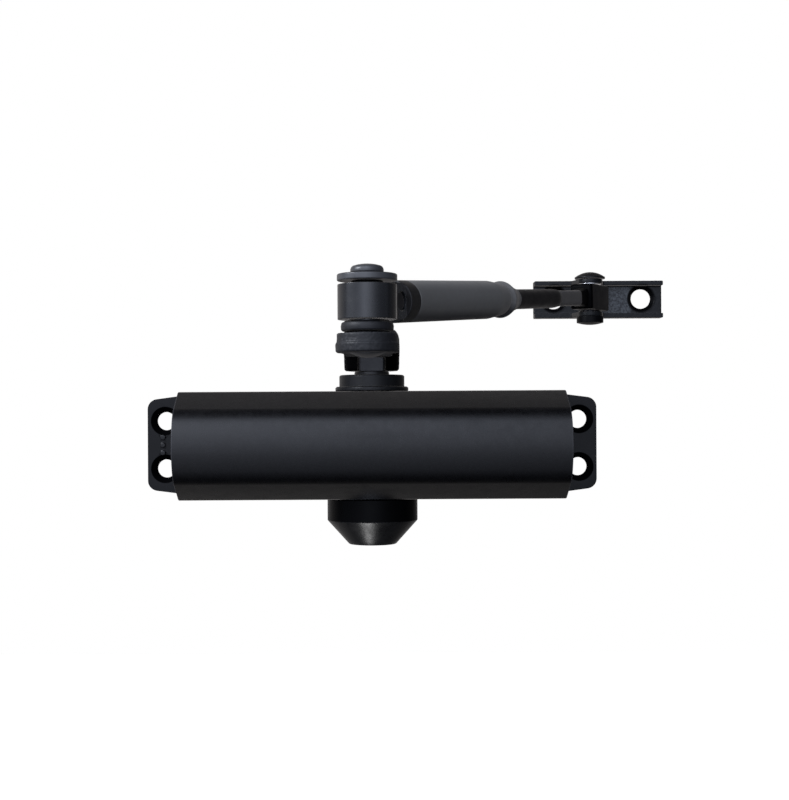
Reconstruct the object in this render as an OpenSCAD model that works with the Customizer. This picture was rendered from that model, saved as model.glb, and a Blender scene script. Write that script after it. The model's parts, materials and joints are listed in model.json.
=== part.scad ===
// Surface-mounted hydraulic door closer: rack-and-pinion body with a regular double-lever arm.
// Frame: +X along the body, +Y towards the door face (mounting face at Y = 0), +Z up.
// Origin: centre of the four body mounting holes, on the mounting face.

/* [Body] */
// length of the cast body between its end faces
body_len = 147; // [140:1:156]
// height of the body
body_h = 41.2; // [40.6:0.2:43]
// depth of the body from the door to the crown of the front
body_d = 52.5; // [52:0.5:56]
// horizontal distance between the body mounting holes
hole_pitch_x = 165; // [163:0.5:167]
// vertical distance between the body mounting holes
hole_pitch_z = 19; // [17:0.5:20]
// thickness of the two fixing ears
ear_t = 5.2; // [4.4:0.2:6]

/* [Drive] */
// largest turn of the spindle from the resting stop, in degrees
turn_max = 160; // [120:5:160]
// width across the flats of the spindle square
square_w = 10; // [9:0.5:10.5]

/* [Arms] */
// spindle axis to elbow axis
main_len = 139.5; // [130:0.5:150]
// elbow axis to bracket pivot, measured in plan
fore_len = 169.2; // [165:0.2:180]
// heading of the forearm in plan at rest, in degrees from the body's length
fore_heading = 59; // [50:0.5:66]
// outer diameter of the forearm tube
tube_od = 12.8; // [12.2:0.2:13.4]
// diameter of the adjusting rod
rod_d = 7; // [6:0.5:7.5]

/* [Bracket] */
// length of the arm bracket
br_len = 51.2; // [48:0.2:56]
// distance between the bracket screw holes
br_pitch = 35; // [33:0.5:38]

/* [Node] */
// sub-part to draw

/* [Hidden] */
$fn = 64;
eps = 0.02;                       // assembly gap between touching pieces
run = 0.05;                       // radial running clearance

hx = body_len/2;
hz = body_h/2;
// body section
flat_y = 34;                      // depth of the flat top and bottom
crown_r = 20.5;                   // radius of the crowned front
crown_y = body_d - crown_r;       // centre of the crown
slope_z = 12.8;                   // where the slope would meet the crown
crease_r = 12;                    // rounding between slope and crown
slope_y = crown_y + sqrt(crown_r*crown_r - slope_z*slope_z);
slope_a = atan2(slope_y - flat_y, hz - slope_z);  // angle of the slope's normal
// ears
ear_x = hole_pitch_x/2 + 7;       // outer edge
ear_root_z = 19.9;                // half height where the ear leaves the body
ear_tip_z = 18.3;                 // half height at the outer edge
ear_r = 4.1;                      // corner radius
hole_r = 3.65;
sink_r = 5.6;
sink_d = 3.2;                     // depth of the countersink
// cylinder bore
bore_y = -25;
bore_r = 15.5;
bore_x0 = -50;                    // blind end
// pinion
sp_y = -18.5;                     // spindle axis
mod = 1.25;
teeth = 12;
pa = 25;                          // pressure angle
rp = mod*teeth/2;
add = 0.8*mod;
ded = 1.05*mod;
backlash = 0.16;
jr = 7;                           // journal radius
pin_h = 18;                       // face width of the pinion
travel = rp*turn_max*PI/180;
sp_bore = 9.4;
// piston, at rest
pis_r = bore_r - run;
slot_x0 = -(rp + add) - 1 - travel;
slot_x1 = rp + add + 1;
pis_x0 = slot_x0 - 14;
pis_x1 = 28;
pocket_x = 17;
pocket_r = 13.2;
seal_x = pis_x0 + 4;
// check valve
ball_r = 2.6;
seat_r = 2;
seat_x = slot_x0 - 5;
ball_x = seat_x - sqrt(ball_r*ball_r - seat_r*seat_r) - eps;
ret_x1 = ball_x - ball_r - 1;     // ball may move 1 mm
// plug
plug_x0 = 62;
plug_x1 = hx - 0.6;
plug_pocket = 70;
// spring
wire_r = 1.7;
coil_r = 10.8;
seat_t = 1.4;
spr_x0 = pocket_x + seat_t + wire_r + 2*eps;
spr_x1 = plug_pocket - wire_r - eps;
spr_turns = 8;
// gland nuts and spindle stations (heights above the body's mid plane)
nut_flange_r = 14.2;
nut_r = 12.65;
nut_root = 16.4;
nut_base = hz;
nut_step = hz + 1.9;
nut_top = hz + 6.4;
collar_top = hz + 8;
brg_z0 = 16.6;
brg_z1 = 21.2;
// valves
valve_y = -36;
valve_z = 7;
valve_r = 3;
duct_y = -45.4;
// main arm
arm_heading = -90.5;
hub_r = 10.6;
hub_z0 = collar_top;
hub_z1 = 41;                      // top of the straight part
hub_top = 45.6;
eye_r = 9.05;
eye_z0 = 29.5;
eye_z1 = 35.1;
elbow = [main_len*cos(arm_heading), sp_y + main_len*sin(arm_heading)];
// elbow stack
pin_r = 4;
ring_z0 = 35.7;
ring_z1 = 38.4;
drum_z0 = 39.1;
drum_z1 = 49.2;
drum_r = 8.6;
wash_z0 = 50.25;
wash_z1 = 52.2;
// forearm
fore_z = 44.1;                    // axis height at the elbow
piv_z = 57.1;                     // axis height at the bracket pivot
fore_up = atan((piv_z - fore_z)/fore_len);
tube_r = tube_od/2;
tube_ir = 4.4;
lug_r = 5.5;
lug_x = 12.5;                     // station of the lug's cross hole
lug_w = 4.4;                      // half width of the lug
cross_r = 2.9;                    // radius of the cross hole
ferr_x0 = 15.2;
ferr_x1 = 20.9;
tube_x1 = 77;                     // end of the full diameter
nose_x1 = 86.3;
coll_x1 = 97.4;
rod_r = rod_d/2;
rod_x0 = 58;
flat_x0 = 136;                    // start of the flattened part
flat_h = 6.5;
flat_w = 5.6;
eye_len = 18.6;                   // rod eye: length, width and height
eye_w = 9;
eye_h = 9.7;
slant_len = fore_len/cos(fore_up);
// bracket
piv = [elbow[0] + fore_len*cos(fore_heading), elbow[1] + fore_len*sin(fore_heading)];
br_x0 = piv[0] - 20.9;
br_hx = br_x0 + br_len/2;         // middle of the bracket
br_z0 = piv_z - 7.35;
br_z1 = piv_z + 7.35;
lip_t = 1.8;
lip_end = 6;                      // depth of the lips away from the pivot
lip_r = 4.8;                      // rounded tongue about the pivot
web_t = 2.6;
bpin_r = 3;
bhole_r = 3.9;

iron = [0.16, 0.16, 0.18];
steel = [0.55, 0.55, 0.57];
bright = [0.75, 0.75, 0.77];
dark = [0.1, 0.1, 0.1];
brassy = [0.72, 0.58, 0.3];

// ---------- helpers ----------
function arc(cx, cy, r, a0, a1, n = 12) =
  [for (i = [0:n]) [cx + r*cos(a0 + (a1 - a0)*i/n), cy + r*sin(a0 + (a1 - a0)*i/n)]];
module along_x(x0, x1, r, y = 0, z = 0) {
  translate([x0, y, z]) rotate([0, 90, 0]) cylinder(h = x1 - x0, r = r);
}
// revolve a radius/station outline about a line parallel to X
module spun_x(pts, y = 0, z = 0) {
  translate([0, y, z]) rotate([0, 90, 0]) rotate_extrude() polygon(pts);
}
module spun_z(pts, x = 0, y = 0) { translate([x, y, 0]) rotate_extrude() polygon(pts); }
module torus(rc, rt) { rotate_extrude() translate([rc, 0]) circle(r = rt, $fn = 24); }
module at_spindle() { translate([0, sp_y, 0]) children(); }
module at_elbow() { translate([elbow[0], elbow[1], 0]) children(); }
module at_pivot() { translate([piv[0], piv[1], 0]) children(); }
// forearm frame: +X runs from the elbow to the bracket pivot
module fore() {
  translate([elbow[0], elbow[1], fore_z]) rotate([0, -fore_up, fore_heading]) children();
}
// domed head: a slice of a ball of height h over a rim of radius r, lying on z = 0
module dome(r, h) {
  R = (r*r + h*h)/(2*h);
  intersection() {
    translate([0, 0, h - R]) sphere(r = R, $fn = 96);
    cylinder(h = h + 1, r = r + 1);
  }
}

// ---------- body ----------
// section of the body in (depth, height)
// rounding centre: crease_r inside the slope and inside the crown
crease_k = (flat_y - crown_y)*cos(slope_a) + hz*sin(slope_a) - crease_r;
crease_a = slope_a - acos(crease_k/(crown_r - crease_r));
crease_c = [crown_y + (crown_r - crease_r)*cos(crease_a), (crown_r - crease_r)*sin(crease_a)];
function flip(p) = [for (i = [len(p) - 1:-1:1]) [p[i][0], -p[i][1]]];
upper_pts = concat(arc(crown_y, 0, crown_r, 0, crease_a, 14),
  arc(crease_c[0], crease_c[1], crease_r, crease_a + 3, slope_a, 8),
  [[flat_y, hz - 0.35], [flat_y - 2, hz], [0, hz]]);
module section() { polygon(concat(flip(upper_pts), upper_pts)); }
module valve_cut(s) {
  along_x(-hx - 1, bore_x0 - 9, valve_r + run, valve_y, s*valve_z);
  along_x(bore_x0 - 9.1, bore_x0 + 1, 1.2, valve_y, s*valve_z);
  along_x(bore_x0 - 9, 32, 1.2, duct_y, s*valve_z);
  for (x = [bore_x0 - 8, 30]) translate([x, duct_y, s*valve_z])
    rotate([-90, 0, 0]) cylinder(h = -duct_y + valve_y, r = 1.1);
}
module housing() {
  color(iron) difference() {
    union() {
      translate([-hx, 0, 0]) rotate([90, 0, 90]) linear_extrude(height = body_len)
        mirror([1, 0]) section();
      rotate([90, 0, 0]) linear_extrude(height = ear_t) ear_plates();
      // size marks: three raised pips between the left-hand holes
      for (k = [-1:1]) translate([-hole_pitch_x/2 - 0.9, -ear_t + 0.1, 3.1*k])
        rotate([90, 0, 0]) cylinder(h = 0.85, r = 1, $fn = 24);
    }
    along_x(bore_x0, hx + 1, bore_r, bore_y);
    at_spindle() {
      cylinder(h = body_h + 2, r = sp_bore, center = true);
      for (s = [-1, 1]) translate([0, 0, s > 0 ? 16 : -hz - 1])
        cylinder(h = hz + 1 - 16, r = 11 + eps);
    }
    for (sx = [-1, 1], sz = [-1, 1])
      translate([sx*hole_pitch_x/2, 0, sz*hole_pitch_z/2]) rotate([90, 0, 0]) {
        translate([0, 0, -1]) cylinder(h = ear_t + 2, r = hole_r);
        translate([0, 0, ear_t - sink_d]) cylinder(h = sink_d + 0.01, r1 = hole_r, r2 = sink_r);
      }
    for (s = [-1, 1]) valve_cut(s);
  }
}
module ear_plates() {
  polygon([[-hx - 0.01, ear_root_z], [-hx - 0.01, -ear_root_z], [hx + 0.01, -ear_root_z],
    [hx + 0.01, ear_root_z]]);
  for (s = [0, 1]) mirror([s, 0]) polygon(concat([[hx - 1, ear_root_z], [hx - 1, -ear_root_z],
    [hx, -ear_root_z]], arc(ear_x - ear_r, -ear_tip_z + ear_r, ear_r, -84, 0),
    arc(ear_x - ear_r, ear_tip_z - ear_r, ear_r, 0, 84), [[hx, ear_root_z]]));
}
module end_plug() {
  color(steel) difference() {
    along_x(plug_x0, plug_x1, bore_r - eps, bore_y);
    along_x(plug_x0 - 1, plug_pocket, pocket_r, bore_y);
    // key recess
    translate([plug_pocket + 0.6, bore_y, 0]) rotate([0, 90, 0]) cylinder(h = 5, r = 5.8, $fn = 6);
    // seal groove
    difference() {
      along_x(plug_x0 + 2, plug_x0 + 4.6, bore_r + 1, bore_y);
      along_x(plug_x0 + 1, plug_x0 + 6, 14, bore_y);
    }
  }
}
module end_plug_seal() {
  color(dark) translate([plug_x0 + 3.3, bore_y, 0]) rotate([0, 90, 0])
    torus((14 + bore_r)/2, (bore_r - 14)/2 - eps);
}

// ---------- drive ----------
function inv_r(t) = rp*cos(pa)*sqrt(1 + pow(t*PI/180, 2));
function inv_a(t) = t - atan(t*PI/180);
rb = rp*cos(pa);
ra = rp + add;
rr = rp - ded;
t_tip = sqrt(pow(ra/rb, 2) - 1)*180/PI;
t_pitch = tan(pa)*180/PI;
half_tooth = 90/teeth - (backlash/4)/rp*180/PI;
// angle from the tooth's middle to the flank at roll t
function flank(t) = half_tooth + inv_a(t_pitch) - inv_a(t);
function tooth(c) = concat(
  [[rr*cos(c - flank(0)), rr*sin(c - flank(0))]],
  [for (i = [0:6]) let (t = t_tip*i/6) inv_r(t)*[cos(c - flank(t)), sin(c - flank(t))]],
  [for (i = [6:-1:0]) let (t = t_tip*i/6) inv_r(t)*[cos(c + flank(t)), sin(c + flank(t))]],
  [[rr*cos(c + flank(0)), rr*sin(c + flank(0))]]);
module pinion_outline() { polygon([for (k = [0:teeth - 1]) each tooth(k*360/teeth)]); }
module square_end(z0, z1) {
  translate([0, 0, z0]) intersection() {
    rotate(arm_heading) translate([-square_w/2, -square_w/2, 0])
      cube([square_w, square_w, z1 - z0]);
    cylinder(h = z1 - z0, r = square_w*0.66);
  }
}
module pinion_spindle() {
  color(steel) at_spindle() difference() {
    union() {
      translate([0, 0, -pin_h/2]) linear_extrude(height = pin_h) pinion_outline();
      for (s = [0, 1]) mirror([0, 0, s]) {
        translate([0, 0, pin_h/2 - 0.01]) cylinder(h = nut_top - pin_h/2 - 0.1, r = jr);
        translate([0, 0, nut_top - 0.2]) cylinder(h = 1.2, r = 6.75);
        translate([0, 0, nut_top + 1]) cylinder(h = collar_top - nut_top - 1, r1 = 6.75, r2 = 6.2);
      }
      square_end(collar_top - 0.01, hub_top - 0.6);
      square_end(-34, -collar_top + 0.01);
    }
    translate([0, 0, 27]) cylinder(h = 20, r = 2.5);
  }
}
rack_p = mod*PI;
module rack_cut() {
  // clearance for the pinion with the rack standing on the front side
  tip = sp_y - (rp - add);
  root = sp_y - (rp + ded);
  h0 = rack_p/4 + backlash/4;                 // half gap on the pitch line
  k0 = ceil(slot_x0/rack_p) + 1;
  k1 = floor(slot_x1/rack_p) - 1;
  // the teeth are narrower than the pinion, so the journals run clear
  for (s = [0, 1]) mirror([0, 0, s])
    translate([slot_x0, sp_y - jr - 0.5, pin_h/2 - 0.4]) cube([slot_x1 - slot_x0, 30, 20]);
  translate([0, 0, -20]) linear_extrude(height = 40) {
    translate([slot_x0, tip]) square([slot_x1 - slot_x0, 30]);
    for (k = [k0:k1]) polygon([
      [k*rack_p - h0 + ded*tan(pa), root], [k*rack_p + h0 - ded*tan(pa), root],
      [k*rack_p + h0 + add*tan(pa) + 0.01*tan(pa), tip + 0.01],
      [k*rack_p - h0 - add*tan(pa) - 0.01*tan(pa), tip + 0.01]]);
  }
}
module rack_piston() {
  color(steel) difference() {
    along_x(pis_x0, pis_x1, pis_r, bore_y);
    rack_cut();
    along_x(pocket_x, pis_x1 + 1, pocket_r, bore_y);
    along_x(pocket_x - 8, pocket_x + 1, 2, bore_y);
    along_x(seat_x - 1, slot_x0 + 1, seat_r, bore_y);
    along_x(pis_x0 - 1, seat_x, ball_r + 0.6, bore_y);
    difference() {
      along_x(seal_x, seal_x + 3, bore_r + 1, bore_y);
      along_x(seal_x - 1, seal_x + 4, 14, bore_y);
    }
  }
}
module piston_seal() {
  color(dark) difference() {
    along_x(seal_x + 0.1, seal_x + 2.9, bore_r - eps, bore_y);
    along_x(seal_x, seal_x + 3, 14 + eps, bore_y);
  }
}
module check_ball() { color(bright) translate([ball_x, bore_y, 0]) sphere(r = ball_r, $fn = 48); }
module check_retainer() {
  color(brassy) difference() {
    along_x(pis_x0 + 0.3, ret_x1, ball_r + 0.6 - eps, bore_y);
    along_x(pis_x0, ret_x1 + 1, 1.3, bore_y);
  }
}
module spring_seat() {
  color(bright) difference() {
    along_x(pocket_x + eps, pocket_x + seat_t, pocket_r - 0.2, bore_y);
    along_x(pocket_x, pocket_x + 3, 6, bore_y);
  }
}
module return_spring() {
  // helix with a closed turn at each end
  n = 24; m = 10;
  steps = spr_turns*n;
  span = spr_x1 - spr_x0;
  dead = 1;                                    // closed turns at each end
  pitch0 = 2*wire_r + 0.06;
  live = (span - 2*dead*pitch0)/(spr_turns - 2*dead);
  function sx(i) = let (t = i/n) t < dead ? pitch0*t
    : t > spr_turns - dead ? span - pitch0*(spr_turns - t)
    : pitch0*dead + live*(t - dead);
  pts = [for (i = [0:steps]) for (j = [0:m - 1])
    let (a = 360*i/n, b = 360*j/m, r = coil_r + wire_r*cos(b))
    [spr_x0 + sx(i) + wire_r*sin(b), bore_y + r*cos(a), r*sin(a)]];
  sides = [for (i = [0:steps - 1]) for (j = [0:m - 1])
    [i*m + j, i*m + (j + 1)%m, (i + 1)*m + (j + 1)%m, (i + 1)*m + j]];
  color(bright) polyhedron(points = pts, faces = concat(sides,
    [[for (j = [m - 1:-1:0]) j]], [[for (j = [0:m - 1]) steps*m + j]]), convexity = 10);
}
module needle_bearing() {
  at_spindle() {
    difference() {
      translate([0, 0, brg_z0]) cylinder(h = brg_z1 - brg_z0, r = sp_bore - eps);
      translate([0, 0, brg_z0 - 1]) cylinder(h = 8, r = 8.6);
    }
    for (k = [0:15]) rotate(k*22.5) translate([7.83, 0, brg_z0 + 0.2])
      cylinder(h = brg_z1 - brg_z0 - 0.4, r = 0.75, $fn = 16);
  }
}
module upper_bearing() { color(bright) needle_bearing(); }
module lower_bearing() { color(bright) mirror([0, 0, 1]) needle_bearing(); }
module spindle_seal() { at_spindle() translate([0, 0, 23.2]) torus(8.03, 0.96); }
module upper_spindle_seal() { color(dark) spindle_seal(); }
module lower_spindle_seal() { color(dark) mirror([0, 0, 1]) spindle_seal(); }
module gland_nut() {
  spun_z([[sp_bore, nut_root], [11, nut_root], [11, nut_base + eps], [nut_flange_r - 0.4,
    nut_base + eps], [nut_flange_r, nut_base + 0.4], [nut_flange_r, nut_step - 0.5],
    [nut_flange_r - 0.5, nut_step], [nut_r, nut_step], [nut_r, nut_top - 0.5],
    [nut_r - 0.5, nut_top], [jr + 0.1, nut_top], [jr + 0.1, 24.3], [9.02, 24.3],
    [9.02, 22.1], [7.6, 22.1], [7.6, 21.4], [sp_bore, 21.4]], 0, sp_y);
}
module upper_gland_nut() { color(iron) gland_nut(); }
module lower_gland_nut() { color(steel) mirror([0, 0, 1]) gland_nut(); }
module bottom_cap() {
  // thin-walled cover gripping the flange of the lower gland nut
  color(iron) spun_z([[nut_flange_r + eps, -hz - eps], [17.2, -hz - eps], [17.5, -hz - 0.4],
    [17.5, -29.2], [9.3, -38.3], [8.9, -38.5], [0, -38.5], [0, -36.6], [7.6, -36.6],
    [nut_flange_r + eps, -29]], 0, sp_y);
}
module valve(s) {
  difference() {
    union() {
      along_x(-hx + 1, -62.4, valve_r, valve_y, s*valve_z);
      along_x(-62.5, -60.4, 1.9, valve_y, s*valve_z);
      // needle: a cone outside the duct, then a slim point inside it
      translate([-60.5, valve_y, s*valve_z]) rotate([0, 90, 0]) {
        cylinder(h = 1.3, r1 = 1.9, r2 = 0.95);
        translate([0, 0, 1.29]) cylinder(h = 3.9, r1 = 0.95, r2 = 0.45);
      }
    }
    // screwdriver slot
    translate([-hx, valve_y - 0.5, s*valve_z - 4]) cube([2.4, 1, 8]);
    difference() {
      along_x(-66, -64.2, valve_r + 1, valve_y, s*valve_z);
      along_x(-67, -63, 1.9, valve_y, s*valve_z);
    }
  }
}
module valve_seal(s) {
  translate([-65.1, valve_y, s*valve_z]) rotate([0, 90, 0]) torus(2.47, 0.54);
}
module closing_valve() { color(brassy) valve(1); }
module latching_valve() { color(brassy) valve(-1); }
module closing_valve_seal() { color(dark) valve_seal(1); }
module latching_valve_seal() { color(dark) valve_seal(-1); }

// ---------- main arm ----------
module arm_frame() { at_spindle() rotate(arm_heading) children(); }
module main_arm() {
  color(iron) arm_frame() difference() {
    union() {
      spun_z([[0, hub_z0 + eps], [hub_r - 0.5, hub_z0 + eps], [hub_r, hub_z0 + 0.6],
        [hub_r + 0.3, hub_z1 - 4], [hub_r + 0.2, hub_z1], [hub_r - 0.2, hub_z1 + 1.6],
        [hub_r - 1.2, hub_z1 + 3.1], [hub_r - 2.6, hub_z1 + 4.1], [hub_r - 4, hub_top],
        [0, hub_top]]);
      // cranked bar: side profile met with plan outline
      intersection() {
        translate([0, 30, 0]) rotate([90, 0, 0]) linear_extrude(height = 60)
          polygon([[0, 35.6], [26, 35.6], [34, 35.3], [98, 30.4], [106, eye_z0 + 0.3],
            [main_len, eye_z0 + 0.3], [main_len, eye_z1 - 0.2], [107, eye_z1 - 0.2],
            [100, eye_z1 + 0.3], [36, 40.6], [28, hub_z1], [0, hub_z1]]);
        translate([0, 0, 20]) linear_extrude(height = 30)
          polygon([[0, 10.6], [14, 10.5], [26, 8.4], [110, 7.1], [125, 7.6], [main_len - 2, 8.8],
            [main_len - 2, -8.8], [125, -7.6], [110, -7.1], [26, -8.4], [14, -10.5],
            [0, -10.6]]);
      }
      // forged eye: a small step at the parting line
      spun_z([[0, eye_z0], [eye_r - 0.2, eye_z0], [eye_r + 0.2, eye_z0 + 0.4],
        [eye_r + 0.25, eye_z0 + 2.7], [eye_r - 0.15, eye_z0 + 2.9], [eye_r - 0.2, eye_z1 - 0.25],
        [eye_r - 0.45, eye_z1], [0, eye_z1]], main_len);
    }
    // square socket, open at the lower front so the spindle square shows
    translate([-square_w/2 - eps, -square_w/2 - eps, hub_z0 - 1])
      cube([square_w + 2*eps, square_w + 2*eps, hub_top - hub_z0 + 2]);
    translate([0, -square_w/2 - 0.4, hub_z0 - 1])
      cube([20, square_w + 0.8, 6.1]);
    translate([main_len, 0, eye_z0 - 1]) cylinder(h = 10, r = pin_r + eps);
  }
}
module hub_washer() {
  color(steel) at_spindle() difference() {
    translate([0, 0, hub_top + eps]) cylinder(h = 1.2, r = 6.6);
    translate([0, 0, hub_top - 1]) cylinder(h = 4, r = 2.7);
  }
}
module hub_screw() {
  color(steel) at_spindle() difference() {
    union() {
      translate([0, 0, 29]) cylinder(h = hub_top + 1.4 - 29, r = 2.48);
      translate([0, 0, hub_top + 1.2 + 2*eps]) cylinder(h = 1.9, r = 4.4);
    }
    translate([0, 0, hub_top + 1.9]) cylinder(h = 3, r = 2.3, $fn = 6);
  }
}
module elbow_rivet() {
  color(steel) at_elbow() {
    translate([0, 0, eye_z0 - 0.32]) cylinder(h = wash_z1 + 0.4 - eye_z0, r = pin_r);
    translate([0, 0, eye_z1 + eps]) cylinder(h = ring_z0 - eye_z1 - 2*eps, r = 6.7);
    translate([0, 0, eye_z0 - eps]) mirror([0, 0, 1]) dome(5.1, 1.5);
    // upper head: undercut neck, straight rim, rounded shoulder, nearly flat top
    translate([0, 0, wash_z1 + eps]) cylinder(h = 0.5, r = 4.5);
    translate([0, 0, wash_z1 + 0.4]) rotate_extrude()
      polygon(concat([[0, 0], [4.6, 0], [4.85, 0.25]], arc(3.45, 0.75, 1.4, 0, 62, 8),
        [[3, 2.3], [1.8, 2.5], [0, 2.6]]));
  }
}
module elbow_washer() {
  color(steel) spun_z([[pin_r + eps, wash_z0 - 0.7], [4.7, wash_z0 - 0.7], [4.7, wash_z0],
    [8.55, wash_z0], [8.75, wash_z0 + 0.2], [8.75, wash_z1 - 0.25], [8.5, wash_z1],
    [pin_r + eps, wash_z1]], elbow[0], elbow[1]);
}
module elbow_spacer_ring() {
  color(steel) spun_z([[pin_r + eps, ring_z0], [7.2, ring_z0], [7.6, ring_z0 + 0.4],
    [7.7, (ring_z0 + ring_z1)/2], [7.5, ring_z1 - 0.4], [7.1, ring_z1 - 0.1],
    [6.7, ring_z1], [6.7, ring_z1 + 0.2], [pin_r + eps, ring_z1 + 0.2]],
    elbow[0], elbow[1]);
}

// ---------- forearm ----------
module elbow_bush() {
  color(brassy) at_elbow() difference() {
    translate([0, 0, drum_z0]) cylinder(h = drum_z1 - drum_z0, r = 5.2 - eps);
    translate([0, 0, drum_z0 - 1]) cylinder(h = 20, r = pin_r + run);
  }
}
module forearm_knuckle() {
  color(iron) difference() {
    union() {
      at_elbow() translate([0, 0, drum_z0]) cylinder(h = drum_z1 - drum_z0, r = drum_r);
      fore() {
        translate([0, -lug_w, -lug_r]) cube([lug_x, 2*lug_w, 2*lug_r]);
        translate([lug_x, lug_w, 0]) rotate([90, 0, 0]) cylinder(h = 2*lug_w, r = lug_r);
        along_x(lug_x, 36, tube_ir - eps);
      }
    }
    at_elbow() translate([0, 0, drum_z0 - 1]) cylinder(h = 20, r = 5.2);
    fore() translate([lug_x, 10, 0]) rotate([90, 0, 0]) cylinder(h = 20, r = cross_r);
    // the lug stops square against the ferrule; only its spigot goes on inside
    fore() difference() {
      along_x(ferr_x0 - eps, 40, 9);
      along_x(ferr_x0 - 1, 41, tube_ir - eps);
    }
  }
}
module knuckle_pin() {
  color(steel) fore() translate([lug_x, lug_w - 0.9, 0]) rotate([90, 0, 0])
    cylinder(h = 2*lug_w - 1.8, r = cross_r - eps);
}
module forearm_ferrule() {
  color(dark) fore() spun_x([[tube_ir, ferr_x0], [tube_r - 0.2, ferr_x0], [tube_r, ferr_x0 + 0.2],
    [tube_r, ferr_x1], [tube_ir, ferr_x1]]);
}
module forearm_tube() {
  color(steel) fore() spun_x([[tube_ir, ferr_x1 + eps], [tube_r - 0.3, ferr_x1 + eps],
    [tube_r, ferr_x1 + 0.4], [tube_r, tube_x1], [5.7, nose_x1 - 2], [5.4, nose_x1],
    [tube_ir, nose_x1]]);
}
module forearm_collar() {
  color(steel) fore() spun_x([[rod_r + run, nose_x1 + eps], [5.4, nose_x1 + eps],
    [5.6, nose_x1 + 0.7], [6.3, nose_x1 + 1.5], [6.25, nose_x1 + 3.2],
    [4.15, coll_x1 - 1.3], [4, coll_x1 - 1.2], [4, coll_x1], [rod_r + run, coll_x1]]);
}
module adjusting_rod() {
  color(steel) difference() {
    union() {
      fore() {
        along_x(rod_x0, flat_x0 + 1, rod_r);
        translate([flat_x0 + 1, 0, 0]) intersection() {
          sphere(r = rod_r, $fn = 48);
          translate([-0.01, -5, -5]) cube(10);
        }
        translate([flat_x0 - 3, -flat_w/2, -flat_h/2]) cube([slant_len - flat_x0 - 2, flat_w, flat_h]);
      }
      // eye block
      at_pivot() rotate(fore_heading) intersection() {
        translate([-eye_len/2, -eye_w/2, piv_z - eye_h/2]) cube([eye_len, eye_w, eye_h]);
        cylinder(h = 100, r = 9.8);
      }
    }
    at_pivot() translate([0, 0, piv_z - 10]) cylinder(h = 20, r = bpin_r + run);
  }
}

// ---------- bracket ----------
module lip_outline() {
  // plan of a lip: a shallow flange with a rounded tongue about the pivot
  polygon(concat([[br_x0, 0], [br_x0 + br_len, 0], [br_x0 + br_len, -lip_end],
    [piv[0] + lip_r + 1.5, -lip_end]], arc(piv[0], piv[1], lip_r, 0, -180, 16),
    [[piv[0] - lip_r - 1.5, -lip_end], [br_x0, -lip_end]]));
}
module bracket() {
  color(iron) difference() {
    union() {
      translate([br_x0, -web_t, br_z0]) cube([br_len, web_t, br_z1 - br_z0]);
      for (z = [br_z0, br_z1 - lip_t]) translate([0, 0, z]) linear_extrude(height = lip_t)
        lip_outline();
    }
    at_pivot() translate([0, 0, br_z0 - 1]) cylinder(h = 20, r = bpin_r + eps);
    for (s = [-1, 1]) translate([br_hx + s*br_pitch/2, 0, piv_z + 0.4]) rotate([90, 0, 0]) {
      translate([0, 0, -1]) cylinder(h = web_t + 2, r = bhole_r);
      translate([0, 0, web_t - 1.6]) cylinder(h = 1.61, r1 = bhole_r, r2 = 5.3);
    }
  }
}
module bracket_rivet() {
  color(steel) at_pivot() {
    translate([0, 0, br_z0 - 0.5]) cylinder(h = br_z1 - br_z0 + 1, r = bpin_r);
    translate([0, 0, br_z1 + eps]) cylinder(h = 0.7, r = 5.9);
    translate([0, 0, br_z1 + 0.7]) dome(5.8, 2);
    translate([0, 0, br_z0 - 2.5]) cylinder(h = 2.5 - eps, r = 5.2);
    translate([0, 0, br_z0 - 2.49]) mirror([0, 0, 1]) dome(5.1, 0.8);
  }
}
module bracket_washers() {
  color(bright) at_pivot() for (s = [0, 1])
    translate([0, 0, s ? br_z1 - lip_t - eps - 0.36 : br_z0 + lip_t + eps]) difference() {
      cylinder(h = 0.36, r = 4.3);
      translate([0, 0, -1]) cylinder(h = 3, r = bpin_r + eps);
    }
}

housing();
end_plug();
end_plug_seal();
rack_piston();
piston_seal();
check_ball();
check_retainer();
spring_seat();
return_spring();
pinion_spindle();
upper_bearing();
lower_bearing();
upper_spindle_seal();
lower_spindle_seal();
upper_gland_nut();
lower_gland_nut();
bottom_cap();
closing_valve();
latching_valve();
closing_valve_seal();
latching_valve_seal();
main_arm();
hub_washer();
hub_screw();
elbow_rivet();
elbow_washer();
elbow_spacer_ring();
elbow_bush();
forearm_knuckle();
knuckle_pin();
forearm_ferrule();
forearm_tube();
forearm_collar();
adjusting_rod();
bracket();
bracket_rivet();
bracket_washers();
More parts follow.
